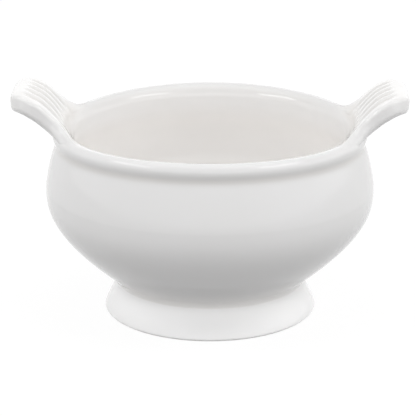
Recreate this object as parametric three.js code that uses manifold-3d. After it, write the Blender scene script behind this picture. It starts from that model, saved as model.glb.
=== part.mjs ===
// Two-handled footed soup bowl in glazed porcelain: body, foot ring and two reeded lug handles.
// Millimetres, +Z up. The foot rests on z = 0, the upright axis is Z and the handles lie along X.

import * as THREE from "three";
import { mergeVertices } from "three/addons/utils/BufferGeometryUtils.js";
import Module from "manifold-3d";

// Body sizes
const bellyRadius = 65;
const bellyHeight = 50.8;
const wallThickness = 5;
const floorThickness = 5.5;
const floorRadius = 22;

// Rim sizes
const rimRadius = 59;
const rimHeight = 76.6;
const lipOuter = 2.9;
const lipInner = 5.1;
const rimDip = 1.5;
const coveDrop = 6.2;
const coveUndercut = 0.75;

// Foot sizes
const footRadius = 42.2;
const footHeight = 13;
const waistRadius = 37.9;
const footWall = 5;
const footLand = 4;
const footEdge = 0.8;

// Handle sizes
const handleReach = 77.4;
const handleTop = 91.4;
const handleWidth = 36.4;
const handleThickness = 7.4;
const handleRoot = 4.8;
const handleFlare = 8;
const handleCorner = 9;
const handleEdge = 3;
const handleCrown = 0.8;

// Reed sizes
const grooveCount = 5;
const groovePitch = 5.5;
const grooveDepth = 0.9;
const reedFromRim = 1.5;
const reedFromTip = 4.5;
const reedFade = 4;

// Slip seam left open between neighbouring pieces
const seam = 0.3;

// Fineness of the facets
const turns = 72;
const reedSteps = 6;
const edgeSteps = 5;
const undersideSteps = 6;
const spineSteps = 13;
const tipAngles = [15, 30, 45, 58, 69, 78, 85];

const wasm = await Module();
wasm.setup();

const point = (r, z) => new THREE.Vector2(r, z);

// Helper: points along a cubic curve, without its first point
function curve(start, pullStart, pullEnd, end, steps) {
  return new THREE.CubicBezierCurve(start, pullStart, pullEnd, end).getPoints(steps).slice(1);
}

// Helper: points along a circular arc in degrees, without its first point
function arc(centre, radius, fromAngle, toAngle, steps) {
  const from = THREE.MathUtils.degToRad(fromAngle);
  const to = THREE.MathUtils.degToRad(toAngle);
  const path = new THREE.EllipseCurve(centre.x, centre.y, radius, radius, from, to, to < from);
  return path.getPoints(steps).slice(1);
}

// Helper: welds a geometry and drops the triangles that have collapsed at a pole
function weld(geometry) {
  geometry.deleteAttribute("normal");
  geometry.deleteAttribute("uv");
  const merged = mergeVertices(geometry, 1e-4);
  const corners = Array.from(merged.index.array);
  const kept = [];
  for (let i = 0; i < corners.length; i += 3) {
    const [a, b, c] = corners.slice(i, i + 3);
    if (a !== b && b !== c && c !== a) kept.push(a, b, c);
  }
  merged.setIndex(kept);
  return merged;
}

// Helper: a profile of (radius, height) points turned about Z, its top dipping a little towards the handles
function turned(profile) {
  const geometry = new THREE.LatheGeometry(profile, turns).rotateX(Math.PI / 2);
  const spots = geometry.attributes.position;
  for (let i = 0; i < spots.count; i += 1) {
    const toHandle = spots.getX(i) / Math.max(Math.hypot(spots.getX(i), spots.getY(i)), seam);
    const raised = THREE.MathUtils.smoothstep(spots.getZ(i), bellyHeight + 8, rimHeight - coveDrop);
    spots.setZ(i, spots.getZ(i) - rimDip * raised * toHandle ** 2);
  }
  return weld(geometry);
}

function toManifold(geometry) {
  const vertProperties = new Float32Array(geometry.attributes.position.array);
  const triVerts = new Uint32Array(geometry.index.array);
  return new wasm.Manifold(new wasm.Mesh({ numProp: 3, vertProperties, triVerts }));
}

function fromManifold(solid) {
  const mesh = solid.getMesh();
  const geometry = new THREE.BufferGeometry();
  geometry.setAttribute("position", new THREE.BufferAttribute(mesh.vertProperties.slice(), 3));
  geometry.setIndex(new THREE.BufferAttribute(mesh.triVerts.slice(), 1));
  return geometry;
}

// Bowl body: outside of the wall, from the waist up to the crown of the thick rounded lip
function bodyOutside() {
  const base = footHeight + seam;
  const lower = bellyHeight - base;
  const rimOuter = rimRadius + lipOuter;
  const coveRadius = rimOuter - coveUndercut;
  const coveHeight = rimHeight - coveDrop;
  const upper = coveHeight - bellyHeight;

  const waist = point(waistRadius, base);
  const belly = point(bellyRadius, bellyHeight);
  const shoulder = point(coveRadius + 0.75, coveHeight - 3.8);
  const cove = point(coveRadius, coveHeight);
  const lipSide = point(rimOuter, rimHeight - lipOuter);
  const lipCentre = point(rimRadius, rimHeight - lipOuter);

  return [
    waist,
    ...curve(waist, point(bellyRadius, base + 0.57 * lower), point(bellyRadius, base + 0.8 * lower), belly, 11),
    ...curve(
      belly,
      point(bellyRadius, bellyHeight + 0.12 * upper),
      point(shoulder.x + 1.2, shoulder.y - 4.6),
      shoulder,
      6,
    ),
    ...curve(shoulder, point(shoulder.x - 0.5, shoulder.y + 1.9), point(coveRadius, coveHeight - 1.1), cove, 3),
    ...curve(cove, point(coveRadius, coveHeight + 1.2), point(rimOuter, lipSide.y - 1.4), lipSide, 3),
    ...arc(lipCentre, lipOuter, 0, 90, 4),
  ];
}

// Bowl body: inside of the wall, from the crown of the rim down to the middle of the floor
function bodyInside() {
  const floorHeight = footHeight + seam + floorThickness;
  const lipCentre = point(rimRadius, rimHeight - lipInner);
  const throat = point(rimRadius - lipInner, rimHeight - lipInner);
  const belly = point(bellyRadius - wallThickness, bellyHeight);
  const floorEdge = point(floorRadius, floorHeight);
  const neckDepth = throat.y - belly.y;
  const bowlDepth = belly.y - floorHeight;

  return [
    ...arc(lipCentre, lipInner, 90, 180, 5),
    ...curve(throat, point(throat.x, throat.y - 0.3 * neckDepth), point(belly.x, belly.y + 0.5 * neckDepth), belly, 7),
    ...curve(belly, point(belly.x, belly.y - 0.45 * bowlDepth), point(waistRadius + 6, floorHeight), floorEdge, 9),
    point(0, floorHeight),
  ];
}

function bowlBody() {
  const underside = point(0, footHeight + seam);
  return turned([underside, ...bodyOutside(), ...bodyInside()]);
}

// Foot ring: flared outside, flat land to stand on and a hollow underneath
function footRing() {
  const landOuter = footRadius - footEdge;
  const landInner = landOuter - footLand;
  const outerEdge = arc(point(landOuter, footEdge), footEdge, -90, 0, 3);
  const innerEdge = arc(point(landInner, footEdge), footEdge, 180, 270, 3);
  const flareFoot = point(footRadius, footEdge);
  const flareTop = point(waistRadius, footHeight);
  const innerTop = point(waistRadius - footWall, footHeight);
  const innerFoot = point(landInner - footEdge, footEdge);

  return turned([
    point(landInner, 0),
    point(landOuter, 0),
    ...outerEdge,
    ...curve(
      flareFoot,
      point(footRadius - 0.8, 0.32 * footHeight),
      point(waistRadius + 0.2, 0.63 * footHeight),
      flareTop,
      7,
    ),
    innerTop,
    ...curve(
      innerTop,
      point(innerTop.x + 0.2, 0.63 * footHeight),
      point(innerFoot.x - 0.8, 0.32 * footHeight),
      innerFoot,
      5,
    ),
    ...innerEdge,
  ]);
}

// Handle: middle line of the lug, steeply up out of the lip and bending over to level at the tip (x is reach)
function handleSpine() {
  const tipHeight = handleTop - handleThickness / 2;
  return new THREE.CubicBezierCurve(
    point(rimRadius - 1.2, rimHeight - 5),
    point(rimRadius + 0.8, rimHeight + 2.6),
    point(handleReach - 8.9, tipHeight + 0.2),
    point(handleReach, tipHeight),
  );
}

// Handle: places along the spine where a section is drawn, as distances from the root
function handleStations(length) {
  const straight = length - handleCorner;
  const along = Array.from({ length: spineSteps + 1 }, (_, i) => (straight * i) / spineSteps);
  const tip = tipAngles.map((a) => length - handleCorner * (1 - Math.sin(THREE.MathUtils.degToRad(a))));
  return [...along, ...tip];
}

// Handle: half the plan width at a distance from the root, flared at the rim and rounded at the tip
function halfWidthAt(distance, length) {
  const flareReach = 0.45 * length;
  const flare = Math.max(0, 1 - distance / flareReach);
  const past = Math.max(0, distance - (length - handleCorner)) / handleCorner;
  return handleWidth / 2 + handleFlare * flare ** 2 - handleCorner * (1 - Math.sqrt(1 - past ** 2));
}

// Handle: half the thickness, slim where the root saddles the rim and rounded off at the tip
function halfThicknessAt(distance, length) {
  const full = handleThickness / 2;
  const grown = Math.min(1, distance / (0.6 * length));
  const past = Math.max(0, distance - (length - full)) / full;
  return THREE.MathUtils.lerp(handleRoot / 2, full, grown) * Math.sqrt(1 - past ** 2);
}

// Handle: how far the top's sides fall below its middle, level at the rim and rounded towards the tip
function crownAt(distance, length) {
  return handleCrown * THREE.MathUtils.smoothstep(distance, 0.2 * length, 0.7 * length);
}

// Handle: how far a place across is drawn back to follow the rim's circle, wholly at the root and less above
function wrapAt(across, distance, length) {
  const behind = rimRadius - Math.sqrt(rimRadius ** 2 - across ** 2);
  return behind * (1 - THREE.MathUtils.smoothstep(distance, 0, 0.45 * length));
}

// Handle: depth of the grooves between the reeds, fading out at the rim and short of the tip
function grooveDepthAt(distance, reach, length) {
  const root = rimRadius + reedFromRim;
  const fromRim = THREE.MathUtils.smoothstep(reach, root - reedFade, root + reedFade);
  const fromTip = 1 - THREE.MathUtils.smoothstep(distance, length - reedFromTip - reedFade, length - reedFromTip);
  return grooveDepth * fromRim * fromTip;
}

// Handle: places across the top, finer over the reeds, as shares of the half width
function topShares() {
  const half = handleWidth / 2;
  const flat = (half - handleEdge) / half;
  const reeded = Math.min(((grooveCount + 1) / 2) * groovePitch, half - handleEdge) / half;
  const count = (grooveCount + 1) * reedSteps;
  const inner = Array.from({ length: count + 1 }, (_, i) => reeded * ((2 * i) / count - 1));
  return reeded < flat ? [-flat, ...inner, flat] : inner;
}

// Handle: one closed section as (across, up) points, reeded on top with soft square edges
function handleSection(halfWidth, halfThickness, crown, depth) {
  const scale = halfWidth / (handleWidth / 2);
  const flat = Math.max(halfWidth - handleEdge * scale, 0);
  const squareness = 0.7;
  const section = [];
  for (const share of topShares()) {
    const across = share * halfWidth;
    const place = (share * handleWidth) / 2 / groovePitch;
    const inGrooves = Math.abs(place) < grooveCount / 2;
    const valley = inGrooves ? 1 - Math.abs(Math.sin(Math.PI * place)) : 0;
    section.push(point(-across, halfThickness - crown * share ** 2 - depth * valley));
  }
  for (const side of [-1, 1]) {
    for (let i = 1; i < edgeSteps; i += 1) {
      const angle = side * (Math.PI / 2) * (1 - (2 * i) / edgeSteps) * -1;
      const lift = Math.sign(angle) * Math.abs(Math.sin(angle)) ** squareness;
      const out = Math.cos(angle) ** squareness;
      const up = lift * halfThickness - (crown * (1 + lift)) / 2;
      section.push(point(side * (flat + handleEdge * scale * out), up));
    }
    if (side < 0) {
      for (let i = 0; i <= undersideSteps; i += 1) {
        section.push(point(flat * ((2 * i) / undersideSteps - 1), -halfThickness));
      }
    }
  }
  return section;
}

// Handle: sections joined into a closed skin along the spine
function handleBlank() {
  const spine = handleSpine();
  const length = spine.getLength();
  const positions = [];
  const rings = handleStations(length).map((distance) => {
    const at = distance / length;
    const middle = spine.getPointAt(at);
    const along = spine.getTangentAt(at);
    const halfWidth = halfWidthAt(distance, length);
    const halfThickness = halfThicknessAt(distance, length);
    const crown = crownAt(distance, length) * (halfThickness / (handleThickness / 2));
    const depth = grooveDepthAt(distance, middle.x, length);
    const ring = handleSection(halfWidth, halfThickness, crown, depth).map((spot) => {
      const wrap = wrapAt(spot.x, distance, length);
      positions.push(middle.x - along.y * spot.y - wrap, spot.x, middle.y + along.x * spot.y);
      return positions.length / 3 - 1;
    });
    return { ring, middle };
  });

  const faces = [];
  for (let i = 1; i < rings.length; i += 1) {
    const back = rings[i - 1].ring;
    const front = rings[i].ring;
    for (let j = 0; j < back.length; j += 1) {
      const k = (j + 1) % back.length;
      faces.push(back[j], front[k], front[j], back[j], back[k], front[k]);
    }
  }
  for (const { ring, middle } of [rings[0], rings.at(-1)]) {
    const atRoot = ring === rings[0].ring;
    positions.push(middle.x, 0, middle.y);
    const centre = positions.length / 3 - 1;
    for (let j = 0; j < ring.length; j += 1) {
      const next = ring[(j + 1) % ring.length];
      faces.push(centre, atRoot ? next : ring[j], atRoot ? ring[j] : next);
    }
  }

  const geometry = new THREE.BufferGeometry();
  geometry.setAttribute("position", new THREE.Float32BufferAttribute(positions, 3));
  geometry.setIndex(faces);
  return weld(geometry);
}

// Handle: the body and its thick lip grown by the seam, to cut the seat where the root saddles the rim
function seatCutter() {
  const saddleAngle = 143;
  const lipCentre = point(rimRadius, rimHeight - lipInner);
  const outside = [...bodyOutside(), ...arc(lipCentre, lipInner, 90, saddleAngle, 3)];
  const grown = outside.map((spot, i) => {
    const before = outside[Math.max(i - 1, 0)];
    const after = outside[Math.min(i + 1, outside.length - 1)];
    const along = after.clone().sub(before).normalize();
    return point(spot.x + seam * along.y, spot.y - seam * along.x);
  });
  const saddleEnd = grown.at(-1);
  return turned([
    point(0, grown[0].y),
    ...grown,
    point(saddleEnd.x, handleTop + handleThickness),
    point(0, handleTop + handleThickness),
  ]);
}

function rightHandle() {
  return fromManifold(toManifold(handleBlank()).subtract(toManifold(seatCutter())));
}

// Assembly: each piece a named mesh with its own white glaze
function named(geometry, name, colour) {
  const glaze = new THREE.MeshStandardMaterial({ color: colour, roughness: 0.12, metalness: 0 });
  glaze.name = `${name}_glaze`;
  const mesh = new THREE.Mesh(geometry, glaze);
  mesh.name = name;
  return mesh;
}

const group = new THREE.Group();
group.name = "soup_bowl";
const handle = rightHandle();
group.add(
  named(bowlBody(), "bowl_body", 0xf1efec),
  named(footRing(), "foot_ring", 0xf0efec),
  named(handle.clone().rotateZ(Math.PI), "left_handle", 0xf3f2f0),
  named(handle, "right_handle", 0xf3f2f0),
);

export default group;
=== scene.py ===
import math

import bpy
import numpy as np
from mathutils import Matrix, Vector


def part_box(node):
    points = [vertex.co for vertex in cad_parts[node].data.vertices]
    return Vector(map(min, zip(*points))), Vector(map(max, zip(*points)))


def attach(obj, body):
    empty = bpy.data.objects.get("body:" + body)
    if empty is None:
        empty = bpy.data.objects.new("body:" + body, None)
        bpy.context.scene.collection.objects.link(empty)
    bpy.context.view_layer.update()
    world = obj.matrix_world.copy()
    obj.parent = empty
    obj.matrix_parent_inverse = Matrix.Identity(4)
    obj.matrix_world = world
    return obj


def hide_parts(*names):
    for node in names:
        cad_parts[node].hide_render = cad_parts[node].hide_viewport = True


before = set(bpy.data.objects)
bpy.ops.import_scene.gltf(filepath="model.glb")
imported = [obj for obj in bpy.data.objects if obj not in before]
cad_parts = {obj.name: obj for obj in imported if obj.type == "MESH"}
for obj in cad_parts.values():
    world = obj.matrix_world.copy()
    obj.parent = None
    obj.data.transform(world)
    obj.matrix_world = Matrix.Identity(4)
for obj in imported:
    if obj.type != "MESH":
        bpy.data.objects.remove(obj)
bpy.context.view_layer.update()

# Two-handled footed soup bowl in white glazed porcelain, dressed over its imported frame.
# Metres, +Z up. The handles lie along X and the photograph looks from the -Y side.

# Main sizes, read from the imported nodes
mm = 0.001
body_low, body_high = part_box("bowl_body")
_, foot_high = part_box("foot_ring")
_, lug_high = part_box("right_handle")
belly_radius = body_high.x
waist_height = body_low.z
rim_height = body_high.z
foot_radius = foot_high.x
foot_height = foot_high.z
lug_reach = lug_high.x
lug_top = lug_high.z

# Body and rim details
belly_height = 50.8 * mm
wall = 5 * mm
floor_radius = 22 * mm
floor_height = waist_height + 5.5 * mm
floor_hub = 1 * mm
rim_radius = 59 * mm
lip_outer = 2.9 * mm
lip_inner = 5.1 * mm
rim_dip = 1.5 * mm
cove_height = rim_height - 6.2 * mm
cove_undercut = 0.75 * mm
shoulder_out = 0.75 * mm
shoulder_drop = 3.8 * mm
dip_start = belly_height + 8 * mm
slip_fillet = 1.6 * mm

# Foot details
waist_radius = 37.9 * mm
foot_wall = 5 * mm
foot_land = 4 * mm
foot_edge = 0.8 * mm
foot_sweep_low = 0.8 * mm
foot_sweep_high = 0.2 * mm

# Handle details
lug_width = 36.4 * mm
lug_thickness = 7.4 * mm
lug_root = 4.8 * mm
lug_flare = 5 * mm
lug_corner = 10 * mm
lug_nose = 3 * mm
lug_rise = 0.6 * mm
lug_droop = 1.2 * mm
lug_crown = 0.8 * mm
upper_edge = 1.6 * mm
lower_edge = 2.9 * mm
root_spread = math.radians(37)
root_inside = math.radians(75)
root_fall = 0.7
root_top = 3.5 * mm
root_side = 9 * mm
root_side_from = 0.4
root_pull_over = 1.2
root_pull_under = 0.6
sink = 0.03 * mm

# Shares of the handle's length over which its section changes
flare_end = 0.45
wrap_end = 0.45
thick_end = 0.6
crown_start = 0.2
crown_end = 0.7

# Reed details
groove_count = 5
groove_pitch = 5.6 * mm
groove_depth = 1 * mm
groove_soft = 0.1
reed_from_root = 4.5 * mm
reed_from_tip = 3.5 * mm
reed_fade = 5 * mm

# Painted shade, with pooled glaze in the grooves and on the handle roots: its shares, and how far it
# reaches
groove_pool_and_shade = 0.6
root_pool_and_shade = 0.75
root_pool_and_shade_fade = 6 * mm
root_pool_and_shade_full = 0.8
lip_shade = 0.3
lip_shade_middle = 0.6
lip_shade_width = 0.4
cove_shade = 0.5
cove_shade_width = 1.5 * mm
foot_shade = 0.2
foot_shade_width = 2 * mm

# Painted light: its share at the handles' tips, and where it starts and is full
tip_painted_light = 0.4
tip_painted_light_full = 0.7
lip_painted_light_start = 0.6
lip_painted_light_full = 2
waist_glow = 9 * mm

# Fineness of the surfaces
around = 288
fillet_steps = 10
flank_steps = 64
shoulder_steps = 36
cove_steps = 14
lip_steps = 20
neck_steps = 36
bowl_steps = 48
floor_steps = 12
land_steps = 10
foot_edge_steps = 10
foot_outside_steps = 40
foot_top_steps = 6
foot_inside_steps = 30
spine_steps = 600
top_steps = 140
edge_steps = 14
under_steps = 60
root_rows = 48
lug_rows = 70
tip_rows = 26
tip_last = math.radians(88.5)
rim_points = 70


# Curves

def cubic(start, pull_start, pull_end, end, steps):
    """Cubic curve without its first point: four points weighted (1-t)^3, 3t(1-t)^2, 3t^2(1-t), t^3."""
    t = np.linspace(0, 1, steps + 1)[1:, None]
    points = [np.array(p, float) for p in (start, pull_start, pull_end, end)]
    weights = ((1 - t) ** 3, 3 * t * (1 - t) ** 2, 3 * t ** 2 * (1 - t), t ** 3)
    return sum(w * p for w, p in zip(weights, points))


def arc(centre, radius, from_angle, to_angle, steps):
    """Circular arc in degrees without its first point: centre plus radius times (cos, sin)."""
    a = np.radians(np.linspace(from_angle, to_angle, steps + 1)[1:])
    return np.array(centre) + radius * np.stack([np.cos(a), np.sin(a)], -1)


def smoothstep(x, low, high):
    """Rises from 0 at low to 1 at high as 3s^2 - 2s^3."""
    s = np.clip((x - low) / (high - low), 0, 1)
    return s * s * (3 - 2 * s)


def unit(v):
    """Vectors of an array scaled to length one."""
    return v / np.linalg.norm(v, axis=-1, keepdims=True)


# Body profile

def wall_outside():
    """Outside of the wall as (r, z), cubics and an arc: slip fillet, flank, shoulder, cove and lip."""
    lower = belly_height - waist_height
    upper = cove_height - belly_height
    rim_outer = rim_radius + lip_outer
    cove_radius = rim_outer - cove_undercut

    foot_top = (waist_radius + sink, foot_height - slip_fillet)
    waist = (waist_radius, waist_height)
    belly = (belly_radius, belly_height)
    shoulder = (cove_radius + shoulder_out, cove_height - shoulder_drop)
    cove = (cove_radius, cove_height)
    lip_side = (rim_outer, rim_height - lip_outer)
    over_foot = (foot_top[0], foot_height)
    bulge_low = (belly_radius, waist_height + 0.57 * lower)
    bulge_high = (belly_radius, waist_height + 0.8 * lower)
    over_belly = (belly_radius, belly_height + 0.12 * upper)
    under_shoulder = (shoulder[0] + 1.2 * mm, shoulder[1] - 4.6 * mm)
    over_shoulder = (shoulder[0] - 0.5 * mm, shoulder[1] + 1.9 * mm)
    under_cove = (cove_radius, cove_height - 1.1 * mm)
    over_cove = (cove_radius, cove_height + 1.2 * mm)
    under_lip = (rim_outer, lip_side[1] - 1.4 * mm)

    flank = cubic(waist, bulge_low, bulge_high, belly, flank_steps)
    flank = flank[np.hypot(*(flank - waist).T) > slip_fillet]
    lean = unit(flank[1] - flank[0])
    under_flank = flank[0] - 0.6 * slip_fillet * lean
    return np.concatenate([
        [foot_top],
        cubic(foot_top, over_foot, under_flank, flank[0], fillet_steps),
        flank[1:],
        cubic(belly, over_belly, under_shoulder, shoulder, shoulder_steps),
        cubic(shoulder, over_shoulder, under_cove, cove, cove_steps),
        cubic(cove, over_cove, under_lip, lip_side, cove_steps),
        arc((rim_radius, rim_height - lip_outer), lip_outer, 0, 90, lip_steps),
    ])


def wall_inside():
    """Inside of the wall as (r, z), an arc, cubics and a line: inner lip, neck, bowl and flat floor."""
    throat = (rim_radius - lip_inner, rim_height - lip_inner)
    belly = (belly_radius - wall, belly_height)
    floor_edge = (floor_radius, floor_height)
    neck = throat[1] - belly[1]
    depth = belly[1] - floor_height
    under_throat = (throat[0], throat[1] - 0.4 * neck)
    over_belly = (belly[0], belly[1] + 0.42 * neck)
    under_belly = (belly[0], belly[1] - 0.45 * depth)
    beside_floor = (waist_radius + 6 * mm, floor_height)
    return np.concatenate([
        arc((rim_radius, rim_height - lip_inner), lip_inner, 90, 180, lip_steps),
        cubic(throat, under_throat, over_belly, belly, neck_steps),
        cubic(belly, under_belly, beside_floor, floor_edge, bowl_steps),
        np.linspace(floor_edge, (floor_hub, floor_height), floor_steps)[1:],
    ])


def foot_profile():
    """Closed (r, z) loop of the foot ring: flat land, edges as arcs, flared sides as cubics, flat top."""
    land_outer = foot_radius - foot_edge
    land_inner = land_outer - foot_land
    sweep_low = 0.32 * foot_height
    sweep_high = 0.63 * foot_height
    flare_foot = (foot_radius, foot_edge)
    flare_top = (waist_radius, foot_height)
    inner_top = (waist_radius - foot_wall, foot_height)
    inner_foot = (land_inner - foot_edge, foot_edge)
    outside_low = (foot_radius - foot_sweep_low, sweep_low)
    outside_high = (waist_radius + foot_sweep_high, sweep_high)
    inside_high = (inner_top[0] + foot_sweep_high, sweep_high)
    inside_low = (inner_foot[0] - foot_sweep_low, sweep_low)
    return np.concatenate([
        np.linspace((land_inner, 0), (land_outer, 0), land_steps),
        arc((land_outer, foot_edge), foot_edge, -90, 0, foot_edge_steps),
        cubic(flare_foot, outside_low, outside_high, flare_top, foot_outside_steps),
        np.linspace(flare_top, inner_top, foot_top_steps)[1:],
        cubic(inner_top, inside_high, inside_low, inner_foot, foot_inside_steps),
        arc((land_inner, foot_edge), foot_edge, 180, 270, foot_edge_steps)[:-1],
    ])


# Meshes

def dipped(points):
    """Points with the top of the wall let down towards the handles, by the dip times (x / r)^2."""
    x, y, z = np.moveaxis(points, -1, 0)
    raised = smoothstep(z, dip_start, cove_height)
    z = z - rim_dip * raised * x ** 2 / (x ** 2 + y ** 2)
    return np.stack([x, y, z], -1)


def turned(profile):
    """Surface of revolution: each (r, z) carried round Z, so x = r cos(a) and y = r sin(a), then dipped."""
    a = np.linspace(0, 2 * math.pi, around, endpoint=False)
    grid = np.empty((len(profile), around, 3))
    grid[..., 0] = profile[:, :1] * np.cos(a)
    grid[..., 1] = profile[:, :1] * np.sin(a)
    grid[..., 2] = profile[:, 1:]
    return dipped(grid)


def skinned(name, grid, poles=None, traits=()):
    """Mesh object over a grid that closes round its second way. With two pole points its first way ends
    in fans of triangles, and without them it closes on itself. The faces are turned so that the signed
    volume, the sum of a . (b x c) over the triangles, is positive."""
    rows, columns = grid.shape[:2]
    index = np.arange(rows * columns).reshape(rows, columns)
    points = grid.reshape(-1, 3)
    lower = index if poles is None else index[:-1]
    upper = np.roll(index, -1, 0) if poles is None else index[1:]
    quads = np.stack([lower, np.roll(lower, -1, 1), np.roll(upper, -1, 1), upper], -1).reshape(-1, 4)
    fans = np.empty((0, 3), int)
    if poles is not None:
        points = np.concatenate([points, np.array(poles, float)])
        first, last = index[0], index[-1]
        start = np.full(columns, rows * columns)
        fans = np.concatenate([
            np.stack([start, np.roll(first, -1), first], -1),
            np.stack([start + 1, last, np.roll(last, -1)], -1),
        ])
    triangles = np.concatenate([quads[:, [0, 1, 2]], quads[:, [0, 2, 3]], fans])
    a, b, c = (points[triangles[:, i]] for i in range(3))
    if np.sum(a * np.cross(b, c)) < 0:
        quads, fans = quads[:, ::-1], fans[:, ::-1]

    mesh = bpy.data.meshes.new(name)
    mesh.from_pydata(points.tolist(), [], quads.tolist() + fans.tolist())
    mesh.polygons.foreach_set("use_smooth", np.ones(len(mesh.polygons), bool))
    for trait, values in dict(traits).items():
        spread = np.zeros(len(points), np.float32)
        spread[:rows * columns] = np.broadcast_to(values, (rows, columns)).ravel()
        if poles is not None:
            spread[-2:] = spread[0], spread[rows * columns - 1]
        mesh.attributes.new(trait, "FLOAT", "POINT").data.foreach_set("value", spread)
    mesh.update()
    piece = bpy.data.objects.new(name, mesh)
    bpy.context.scene.collection.objects.link(piece)
    return piece


def crease_ring(piece, columns):
    """Marks the edges of a grid's first ring sharp, so the hidden fan behind it leaves shading alone."""
    mesh = piece.data
    ends = np.empty(2 * len(mesh.edges), np.int32)
    mesh.edges.foreach_get("vertices", ends)
    on_ring = (ends.reshape(-1, 2) < columns).all(1)
    mesh.attributes.new("sharp_edge", "BOOLEAN", "EDGE").data.foreach_set("value", on_ring)


# Body and foot

def lip_tints(past_crown):
    """Shares of painted shade and of painted light on the inside, where the lip's quarter turn past the
    crown runs
    from 0 to 1: a bell exp(-s^2) of painted shade over the turn, and a smooth step of painted light that
    ends down the neck."""
    pool_and_shade = lip_shade * np.exp(-((past_crown - lip_shade_middle) / lip_shade_width) ** 2)
    return pool_and_shade, smoothstep(past_crown, lip_painted_light_start, lip_painted_light_full)


def glazed_body():
    """The bowl's wall turned about Z. Painted shade is a bell exp(-s^2) in the cove under the lip and one
    over the lip's inside.
    Painted light is 1 below the lip inside, and outside it rises to 1 down at the waist."""
    outside = wall_outside()
    inside = wall_inside()
    profile = np.concatenate([outside, inside])
    # Painted shade in the cove under the lip
    in_cove = cove_shade * np.exp(-((profile[:, 1] - cove_height) / cove_shade_width) ** 2)
    # Painted light on the belly, rising down to the waist
    at_waist = 1 - smoothstep(profile[:, 1], waist_height, waist_height + waist_glow)
    past_crown = (np.arange(len(profile)) - len(outside)) / lip_steps
    in_lip, lit = lip_tints(past_crown)
    pool_and_shade = np.where(past_crown < 0, np.maximum(in_cove, in_lip), in_lip)
    lit = np.where(past_crown < 0, np.maximum(at_waist, lit), lit)
    poles = [(0, 0, profile[0, 1]), (0, 0, floor_height)]
    traits = {"pool_and_shade": pool_and_shade[:, None], "painted_light": lit[:, None]}
    return skinned("glazed_body", turned(profile), poles, traits)


def glazed_foot():
    """The foot ring turned about Z. Painted shade is a mild bell exp(-s^2) close under the waist."""
    profile = foot_profile()
    pool_and_shade = foot_shade * np.exp(-((profile[:, 1] - foot_height) / foot_shade_width) ** 2)
    return skinned("glazed_foot", turned(profile), None, {"pool_and_shade": pool_and_shade[:, None]})


# Handles

def rim_path(distance, angle):
    """Points on the dipped rim at distances over it from the crown, outward where positive and inward
    where negative, and at angles round Z from the handle's middle. Straight between close points."""
    outside = wall_outside()[::-1][:rim_points]
    inside = wall_inside()[:2 * lip_steps][::-1]
    path = np.concatenate([inside, outside])
    run = np.concatenate([[0], np.cumsum(np.hypot(*np.diff(path, axis=0).T))])
    run -= run[len(inside)]
    radius, height = (np.interp(distance, run, path[:, i]) for i in (0, 1))
    return dipped(np.stack([radius * np.cos(angle), radius * np.sin(angle), height], -1))


def section_places():
    """Places round a handle section, from +y over the top to -y and back underneath. Share goes across
    the flats. Lift is 1 on top and -1 below. The four insets draw the corners in by 1 - cos and 1 - sin
    of an angle, times the edge's radius. Turn is 0 on top, 1 below and between on the sides."""
    flat = np.linspace(1, -1, top_steps + 1)
    under = np.linspace(-1, 1, under_steps + 1)
    a = np.linspace(0, math.pi / 2, edge_steps + 1)[1:]
    b = a[:-1]
    rise = np.linspace(0, 1, edge_steps // 2 + 1)[1:-1]
    side = {
        "share": np.full(len(a) + len(rise) + len(a), -1.0),
        "lift": np.concatenate([a * 0 + 1, 1 - 2 * rise, a * 0 - 1]),
        "upper_in": np.concatenate([1 - np.sin(a), 0 * rise, 0 * a]),
        "upper_down": np.concatenate([1 - np.cos(a), 1 - rise, 0 * a]),
        "lower_in": np.concatenate([0 * a, 0 * rise, [0], 1 - np.cos(b)]),
        "lower_up": np.concatenate([0 * a, rise, [1], 1 - np.sin(b)]),
    }
    count = len(side["share"])
    side["turn"] = np.linspace(0, 1, count + 2)[1:-1]
    mirror = {key: value[::-1] for key, value in side.items()}
    mirror["share"] = -mirror["share"]
    top = {"share": flat, "lift": 0 * flat + 1, "upper_in": np.abs(flat)}
    below = {"share": under, "lift": 0 * under - 1, "lower_in": np.abs(under), "turn": 0 * under + 1}
    return {
        key: np.concatenate([part.get(key, 0 * part["share"]) for part in (top, side, below, mirror)])
        for key in side
    }


def lug_spine(distance=None):
    """Middle line of the handle as (reach, height), a cubic bend that leaves the lip steeply and levels
    out at the tip, which droops by the square of the last stretch. Gives its length, or the points on it
    and their headings, which are those of the bend before the droop."""
    tip_height = lug_top - lug_thickness / 2 + lug_rise
    start = (rim_radius - 1.2 * mm, rim_height - 5 * mm)
    steep = (rim_radius + 0.8 * mm, rim_height + 2.6 * mm)
    level = (lug_reach - 8.9 * mm, tip_height + 0.2 * mm)
    tip = (lug_reach, tip_height)
    line = np.concatenate([[start], cubic(start, steep, level, tip, spine_steps)])
    heading = unit(np.gradient(line, axis=0))
    last = np.clip(1 - (lug_reach - line[:, 0]) / lug_corner, 0, 1)
    line[:, 1] -= lug_droop * last ** 2
    run = np.concatenate([[0], np.cumsum(np.hypot(*np.diff(line, axis=0).T))])
    if distance is None:
        return run[-1]
    spot = np.stack([np.interp(distance, run, line[:, i]) for i in (0, 1)], -1)
    along = np.stack([np.interp(distance, run, heading[:, i]) for i in (0, 1)], -1)
    return spot, unit(along)


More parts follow.
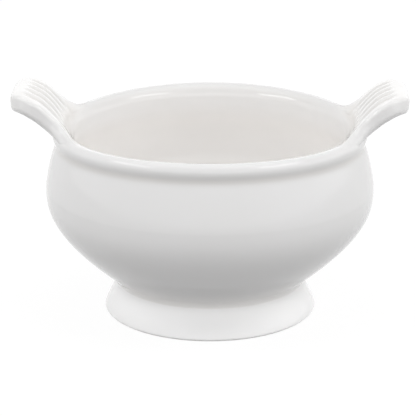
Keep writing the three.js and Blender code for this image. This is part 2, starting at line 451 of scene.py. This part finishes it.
def lug_sections(distance, places):
    """Sections across the spine, with a distance for each place of each: a slab with rounded edges,
    crowned and reeded on top, slim and wrapped round the rim's circle at the root. At the tip its plan has
    round corners, and its nose thins by the cube root of 1 - s^3. Gives the points and the groove share."""
    length = lug_spine()
    spot, along = lug_spine(distance)
    flare = np.maximum(0, 1 - distance / (flare_end * length)) ** 2
    past_corner = np.maximum(0, distance - (length - lug_corner)) / lug_corner
    half_width = lug_width / 2 + lug_flare * flare - lug_corner * (1 - np.sqrt(1 - past_corner ** 2))
    past_nose = np.maximum(0, distance - (length - lug_nose)) / lug_nose
    slim = np.cbrt(1 - past_nose ** 3)
    grown = np.minimum(1, distance / (thick_end * length))
    half_thick = (lug_root + (lug_thickness - lug_root) * grown) / 2 * slim
    crown = lug_crown * smoothstep(distance, crown_start * length, crown_end * length) * slim
    wrap = 1 - smoothstep(distance, 0, wrap_end * length)

    share, turn = places["share"], places["turn"]
    inset = slim * (upper_edge * places["upper_in"] + lower_edge * places["lower_in"])
    across = share * half_width - np.sign(share) * inset
    groove = groove_at(across, distance, length) * (turn == 0)
    edge = slim * (lower_edge * places["lower_up"] - upper_edge * places["upper_down"])
    up = places["lift"] * half_thick + edge
    up = up - crown * (across / half_width) ** 2 * (1 - turn) - groove_depth * groove
    behind = rim_radius - np.sqrt(rim_radius ** 2 - across ** 2)
    points = np.stack([
        spot[..., 0] - along[..., 1] * up - wrap * behind,
        across,
        spot[..., 1] + along[..., 0] * up,
    ], -1)
    return points, groove


def groove_at(across, distance, length):
    """Share of the full groove depth: 1 less |sin| of the place over the pitch, softened at the bottom,
    within the outermost grooves, fading in beyond the root and out short of the tip."""
    place = across / groove_pitch
    tallest = math.hypot(1, groove_soft) - groove_soft
    wave = (np.hypot(np.sin(math.pi * place), groove_soft) - groove_soft) / tallest
    reeded = np.abs(place) < groove_count / 2
    from_root = smoothstep(distance, reed_from_root, reed_from_root + reed_fade)
    from_tip = 1 - smoothstep(distance, length - reed_from_tip - reed_fade, length - reed_from_tip)
    return (1 - wave) * reeded * from_root * from_tip


def root_loop(places):
    """Loop on the rim where the handle grows out of it, with the headings of its skin: inside the lip by
    1 - share^2 along the top, then from the crown down the lip at the sides, and underneath, short of the
    cove. The headings are differences of near points on the rim, mixed from over it to along it."""
    share, turn = places["share"], places["turn"]
    cove = lip_outer * math.pi / 2 + rim_height - lip_outer - cove_height
    top = turn == 0
    under = turn == 1
    inset = 1 - share ** 2
    distance = np.where(top, -root_inside * lip_inner * inset, root_fall * cove * turn)
    angle = root_spread * share
    step = 0.2 * mm
    nudge = 0.01
    least = 1e-6
    points = rim_path(distance, angle)
    over = unit(rim_path(distance + step, angle) - rim_path(distance - step, angle))
    nearer = rim_path(distance, angle * (1 - nudge))
    farther = rim_path(distance, angle * (1 + nudge) + least)
    round_rim = unit(nearer - farther)
    outward = np.cross(over, np.stack([-np.sin(angle), np.cos(angle), 0 * angle], -1))
    sideways = np.where(top, np.abs(share) ** 2, np.where(under, np.abs(share) ** 6, 1))[:, None]
    leave = (1 - sideways) * over * np.where(under, -1, 1)[:, None] + sideways * round_rim
    return points - sink * outward, unit(leave)


def glazed_lug(name, flipped):
    """Handle skin: cubic Hermite blend from the loop on the rim to the first full section, then the
    sections out to the tip. The left one is the right one turned half way round Z."""
    places = section_places()
    length = lug_spine()
    share, turn = places["share"], places["turn"]
    to_side = np.where(turn % 1 == 0, smoothstep(np.abs(share), root_side_from, 1), 1)
    joined = root_top + (root_side - root_top) * to_side
    straight = joined + np.linspace(0, 1, lug_rows)[:, None] * (length - lug_corner - joined)
    tip_angle = np.linspace(0, tip_last, tip_rows + 1)[1:, None]
    tip = length - lug_corner * (1 - np.sin(tip_angle)) + 0 * joined
    distance = np.concatenate([straight, tip])
    sections, groove = lug_sections(distance, places)

    first, leave = root_loop(places)
    last = sections[0]
    step = 0.1 * mm
    near, _ = lug_sections(np.stack([joined - step, joined + step]), places)
    arrive = unit(near[1] - near[0])
    chord = np.linalg.norm(last - first, axis=-1, keepdims=True)
    pull = np.where(turn == 1, root_pull_under, root_pull_over)[:, None]
    t = np.linspace(0, 1, root_rows + 1)[:-1, None, None]
    blend = (
        (2 * t ** 3 - 3 * t ** 2 + 1) * first
        + (t ** 3 - 2 * t ** 2 + t) * chord * leave * pull
        + (3 * t ** 2 - 2 * t ** 3) * last
        + (t ** 3 - t ** 2) * chord * arrive
    )

    grid = np.concatenate([blend, sections])
    top = turn == 0
    # Painted shade over the lip's inside and painted light below it, carried onto the handle root
    lip_painted_shade, lip_painted_light = lip_tints(top * (1 - share ** 2) * root_inside / (math.pi / 2))
    # Pooled glaze with painted shade on top of the root and in the grooves
    on_top = root_pool_and_shade * top * (1 - share ** 4)
    at_root = on_top * (1 - smoothstep(distance, root_top, root_top + root_pool_and_shade_fade))
    spread = smoothstep(t[..., 0], 0, root_pool_and_shade_full)
    off_lip = lip_painted_shade + spread * (on_top - lip_painted_shade)
    pool_and_shade = np.concatenate([off_lip, np.maximum(groove_pool_and_shade * groove, at_root)])
    # Painted light on the handle tops towards the tip
    to_tip = smoothstep(distance, root_side, tip_painted_light_full * length)
    at_tip = tip_painted_light * (1 - turn) ** 2 * to_tip
    lit = np.concatenate([(1 - spread) * lip_painted_light, at_tip])
    end, _ = lug_spine(np.array([length]))
    poles = np.array([(rim_radius, 0, rim_height - lip_inner), (end[0, 0], 0, end[0, 1])])
    if flipped:
        half_turn = np.array([-1, -1, 1])
        grid = grid * half_turn
        poles = poles * half_turn
    piece = skinned(name, grid, poles, {"pool_and_shade": pool_and_shade, "painted_light": lit})
    crease_ring(piece, grid.shape[1])
    return piece


# Shader helpers

def add(tree, kind, **settings):
    """A node of that kind with its plain settings."""
    made = tree.nodes.new(kind)
    for key, value in settings.items():
        setattr(made, key, value)
    return made


def feed(tree, socket, value):
    """Links an output to a socket, or sets the socket to a plain value."""
    if isinstance(value, bpy.types.NodeSocket):
        tree.links.new(value, socket)
    else:
        socket.default_value = value


def noise(tree, place, scale, detail=2):
    """Cloudy values round one half."""
    made = add(tree, "ShaderNodeTexNoise")
    for socket, value in (("Vector", place), ("Scale", scale), ("Detail", detail)):
        feed(tree, made.inputs[socket], value)
    return made.outputs["Fac"]


def ramp(tree, value, span, ends=(0, 1), smooth=False):
    """Goes from one end to the other while the value crosses the span, straight or as a smooth step."""
    made = add(tree, "ShaderNodeMapRange", interpolation_type="SMOOTHSTEP" if smooth else "LINEAR")
    sockets = ("Value", "From Min", "From Max", "To Min", "To Max")
    for socket, given in zip(sockets, (value, *span, *ends)):
        feed(tree, made.inputs[socket], given)
    return made.outputs["Result"]


def maths(tree, operation, *values):
    """Result of a math node on outputs or plain values."""
    made = add(tree, "ShaderNodeMath", operation=operation)
    for socket, value in zip(made.inputs, values):
        feed(tree, socket, value)
    return made.outputs["Value"]


def mixed(tree, factor, a, b, **settings):
    """Mix of two outputs or plain values by a factor."""
    made = add(tree, "ShaderNodeMix", **settings)
    for socket, value in (("Factor", factor), ("A", a), ("B", b)):
        feed(tree, made.inputs[socket], value)
    return made.outputs["Result"]


def group_of(name, inputs, outputs):
    """An empty shader node group with named sockets, the outputs of its inner start and its inner end."""
    tree = bpy.data.node_groups.new(name, "ShaderNodeTree")
    for socket, kind, value in inputs:
        made = tree.interface.new_socket(socket, in_out="INPUT", socket_type=kind)
        if value is not None:
            made.default_value = value
    for socket, kind in outputs:
        tree.interface.new_socket(socket, in_out="OUTPUT", socket_type=kind)
    return tree, add(tree, "NodeGroupInput").outputs, add(tree, "NodeGroupOutput").inputs


# Glazes

body_white = (0.805, 0.8, 0.8, 1)
# A lighter copy of the body's white: painted light on the foot
foot_lit_white = (0.965, 0.962, 0.963, 1)
glaze_drift = (0.985, 0.985, 0.98, 1)
# Tint of pooled glaze and painted shade
pool_and_shade_colour = (0.67, 0.645, 0.615, 1)
# Tint of painted light
painted_light_colour = (0.94, 0.924, 0.908, 1)
glaze_index = 1.5
glaze_smoothest = 0.015
glaze_roughest = 0.035
drift_scale = 28
drift_detail = 3
drift_span = (0.35, 0.7)
wander_scale = 60
wander_span = (0.3, 0.7)
ripple_scale = 130
ripple_detail = 1
ripple_strength = 0.03
ripple_height = 0.3 * mm
bare_clay = (0.62, 0.59, 0.55, 1)
clay_roughness = 0.7
wipe_scale = 240
wipe_wander = 0.5 * mm
wipe_edge = 0.12 * mm


def tone_group():
    """Glaze colour: a broad cloudy drift between two close whites, then the tint of painted light, and last
    the tint of pooled glaze and painted shade."""
    tree, given, made = group_of(
        "glaze_tone",
        [
            ("Place", "NodeSocketVector", None),
            ("White", "NodeSocketColor", None),
            ("Drift", "NodeSocketColor", None),
            ("Pool and shade colour", "NodeSocketColor", None),
            ("Painted light colour", "NodeSocketColor", None),
            ("Pool and shade", "NodeSocketFloat", 0.0),
            ("Painted light", "NodeSocketFloat", 0.0),
        ],
        [("Colour", "NodeSocketColor")],
    )
    cloud = ramp(tree, noise(tree, given["Place"], drift_scale, drift_detail), drift_span)
    white = mixed(tree, cloud, given["White"], given["Drift"], data_type="RGBA", blend_type="MULTIPLY")
    lit = mixed(tree, given["Painted light"], white, given["Painted light colour"], data_type="RGBA")
    pooled_and_shaded = mixed(tree, given["Pool and shade"], lit, given["Pool and shade colour"], data_type="RGBA")
    feed(tree, made["Colour"], pooled_and_shaded)
    return tree


def skin_group():
    """Glaze skin: a roughness that wanders between two values, and a height of soft fine ripples."""
    tree, given, made = group_of(
        "glaze_skin",
        [
            ("Place", "NodeSocketVector", None),
            ("Smoothest", "NodeSocketFloat", glaze_smoothest),
            ("Roughest", "NodeSocketFloat", glaze_roughest),
        ],
        [("Roughness", "NodeSocketFloat"), ("Height", "NodeSocketFloat")],
    )
    wander = noise(tree, given["Place"], wander_scale)
    roughness = ramp(tree, wander, wander_span, (given["Smoothest"], given["Roughest"]))
    feed(tree, made["Roughness"], roughness)
    feed(tree, made["Height"], noise(tree, given["Place"], ripple_scale, ripple_detail))
    return tree


def glaze(name, white, tone, skin, bare_land=False):
    """White glaze over porcelain. With a bare land, the lowest strip is wiped back to matt fired clay."""
    material = bpy.data.materials.new(name)
    material.use_nodes = True
    tree = material.node_tree
    shader = tree.nodes["Principled BSDF"].inputs
    place = add(tree, "ShaderNodeTexCoord").outputs["Object"]
    tints = {
        "Place": place,
        "White": white,
        "Drift": glaze_drift,
        "Pool and shade colour": pool_and_shade_colour,
        "Painted light colour": painted_light_colour,
        "Pool and shade": add(tree, "ShaderNodeAttribute", attribute_name="pool_and_shade").outputs["Fac"],
        "Painted light": add(tree, "ShaderNodeAttribute", attribute_name="painted_light").outputs["Fac"],
    }
    # The colour takes painted shade, pooled glaze and painted light from the mesh's attributes
    tinted = add(tree, "ShaderNodeGroup", node_tree=tone)
    for socket, value in tints.items():
        feed(tree, tinted.inputs[socket], value)
    colour = tinted.outputs["Colour"]

    surface = add(tree, "ShaderNodeGroup", node_tree=skin)
    feed(tree, surface.inputs["Place"], place)
    roughness = surface.outputs["Roughness"]
    bump = add(tree, "ShaderNodeBump")
    bump.inputs["Strength"].default_value = ripple_strength
    bump.inputs["Distance"].default_value = ripple_height
    feed(tree, bump.inputs["Height"], surface.outputs["Height"])

    if bare_land:
        split = add(tree, "ShaderNodeSeparateXYZ")
        feed(tree, split.inputs["Vector"], place)
        cloud = noise(tree, place, wipe_scale)
        ragged = maths(tree, "MULTIPLY_ADD", cloud, -wipe_wander, split.outputs["Z"])
        wiped = ramp(tree, ragged, (0, wipe_edge), (1, 0))
        colour = mixed(tree, wiped, colour, bare_clay, data_type="RGBA")
        roughness = mixed(tree, wiped, roughness, clay_roughness)

    feed(tree, shader["Base Color"], colour)
    feed(tree, shader["Roughness"], roughness)
    feed(tree, shader["IOR"], glaze_index)
    feed(tree, shader["Normal"], bump.outputs["Normal"])
    return material


# Pieces

def dress(piece, node, material):
    """Gives a piece its glaze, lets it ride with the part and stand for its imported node."""
    piece.data.materials.append(material)
    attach(piece, "root")
    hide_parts(node)


tone = tone_group()
skin = skin_group()
white_glaze = glaze("white_glaze", body_white, tone, skin)
# The foot's glaze is the body's glaze in a lighter white, painted light, over a real bare land
foot_glaze = glaze("foot_glaze", foot_lit_white, tone, skin, bare_land=True)
dress(glazed_body(), "bowl_body", white_glaze)
dress(glazed_foot(), "foot_ring", foot_glaze)
dress(glazed_lug("glazed_left_handle", True), "left_handle", white_glaze)
dress(glazed_lug("glazed_right_handle", False), "right_handle", white_glaze)


# Stage: pale floor, white surround and two soft boxes

floor_half = 3.0
floor_bounce = (0.25, 0.25, 0.25, 1)
floor_shown = (0.15, 0.15, 0.15, 1)
floor_lift = (0.88, 0.88, 0.88, 1)
horizon_level = 1.76
middle_level = 0.12
zenith_level = 1.28
horizon_fade = (0.3, 0.7)
overhead_lean = math.radians(25)
overhead_fade = (0.55, 0.95)
left_share = 0.87
right_share = 1.03
back_share_low = 0.72
back_share_high = 0.57
back_climb = (0.3, 0.5)
back_fade = (-0.1, 0.7)
softbox_width = 0.5
softbox_height = 0.2
softbox_distance = 0.9
softbox_power = 1.6
softbox_places = {"softbox_left": (-0.72, -0.3, 0.69), "softbox_right": (0.6, -0.3, 0.69)}


def pale_floor():
    """Flat floor. Seen directly or in a reflection it is white with the object's shadow; the light that it
    sends back up is that of a dark grey."""
    mesh = bpy.data.meshes.new("pale_floor")
    corners = [(-1, -1), (1, -1), (1, 1), (-1, 1)]
    mesh.from_pydata([(floor_half * x, floor_half * y, 0) for x, y in corners], [], [(0, 1, 2, 3)])
    floor = bpy.data.objects.new("pale_floor", mesh)
    bpy.context.scene.collection.objects.link(floor)
    material = bpy.data.materials.new("pale_floor")
    material.use_nodes = True
    tree = material.node_tree
    tree.nodes.clear()

    grey = add(tree, "ShaderNodeBsdfDiffuse")
    grey.inputs["Color"].default_value = floor_bounce
    pale = add(tree, "ShaderNodeBsdfDiffuse")
    pale.inputs["Color"].default_value = floor_shown
    lift = add(tree, "ShaderNodeEmission")
    lift.inputs["Color"].default_value = floor_lift
    white = add(tree, "ShaderNodeAddShader")
    feed(tree, white.inputs[0], pale.outputs["BSDF"])
    feed(tree, white.inputs[1], lift.outputs["Emission"])

    path = add(tree, "ShaderNodeLightPath").outputs
    direct = maths(tree, "MAXIMUM", path["Is Camera Ray"], path["Is Glossy Ray"])
    seen = maths(tree, "MAXIMUM", direct, path["Is Transmission Ray"])
    choice = add(tree, "ShaderNodeMixShader")
    for socket, value in zip(choice.inputs, (seen, grey.outputs["BSDF"], white.outputs["Shader"])):
        feed(tree, socket, value)
    out = add(tree, "ShaderNodeOutputMaterial")
    feed(tree, out.inputs["Surface"], choice.outputs["Shader"])
    mesh.materials.append(material)


def white_surround():
    """White world round the object: a bright band above the horizon, dimmer behind and most so higher up, a
    softer patch overhead that leans to the back, and a little less light from the left."""
    world = bpy.data.worlds.new("white_surround")
    world.use_nodes = True
    tree = world.node_tree
    background = tree.nodes["Background"].inputs
    direction = add(tree, "ShaderNodeTexCoord").outputs["Generated"]
    split = add(tree, "ShaderNodeSeparateXYZ")
    feed(tree, split.inputs["Vector"], direction)
    x, y, z = split.outputs
    leaning = add(tree, "ShaderNodeVectorMath", operation="DOT_PRODUCT")
    feed(tree, leaning.inputs[0], direction)
    leaning.inputs[1].default_value = (0, math.sin(overhead_lean), math.cos(overhead_lean))

    band = ramp(tree, z, horizon_fade, (horizon_level, middle_level), True)
    patch = ramp(tree, leaning.outputs["Value"], overhead_fade, (0, zenith_level - middle_level), True)
    side_share = ramp(tree, x, (-1, 1), (left_share, right_share))
    back_share = ramp(tree, z, back_climb, (back_share_low, back_share_high), True)
    depth_share = ramp(tree, y, back_fade, (1, back_share), True)
    level = maths(tree, "MULTIPLY", maths(tree, "ADD", band, patch), side_share)
    feed(tree, background["Color"], (1, 1, 1, 1))
    feed(tree, background["Strength"], maths(tree, "MULTIPLY", level, depth_share))
    bpy.context.scene.world = world


def softbox(name, toward):
    """Wide soft box that looks at the rim from a direction."""
    lamp = bpy.data.lights.new(name, "AREA")
    lamp.shape = "RECTANGLE"
    lamp.size = softbox_width
    lamp.size_y = softbox_height
    lamp.energy = softbox_power
    holder = bpy.data.objects.new(name, lamp)
    away = Vector(toward).normalized()
    holder.location = Vector((0, 0, rim_height)) + softbox_distance * away
    holder.rotation_mode = "QUATERNION"
    holder.rotation_quaternion = away.to_track_quat("Z", "Y")
    bpy.context.scene.collection.objects.link(holder)


pale_floor()
white_surround()
for name, toward in softbox_places.items():
    softbox(name, toward)


# Camera: the photograph's view, a long lens from the front and a little above

camera_distance = 800 * mm
camera_azimuth = math.radians(1.2)
camera_elevation = math.radians(18.47)
camera_lens = 173.3
camera_sensor = 36
camera_centre = Vector((0, 0, 38 * mm))
camera_aim = Vector((-0.8 * mm, 0.71 * mm, 40.12 * mm))


def photo_camera():
    """Camera on the -Y side, a little to the right, raised about the centre and looking at its aim."""
    data = bpy.data.cameras.new("photo_camera")
    data.lens = camera_lens
    data.sensor_width = camera_sensor
    camera = bpy.data.objects.new("photo_camera", data)
    level = math.cos(camera_elevation)
    back = Vector((
        level * math.sin(camera_azimuth),
        -level * math.cos(camera_azimuth),
        math.sin(camera_elevation),
    ))
    stand = camera_centre + camera_distance * back
    look = (camera_aim - stand).to_track_quat("-Z", "Y").to_matrix().to_4x4()
    camera.matrix_world = Matrix.Translation(stand) @ look
    bpy.context.scene.collection.objects.link(camera)
    bpy.context.scene.camera = camera


photo_camera()
bpy.context.scene.view_settings.view_transform = "Standard"
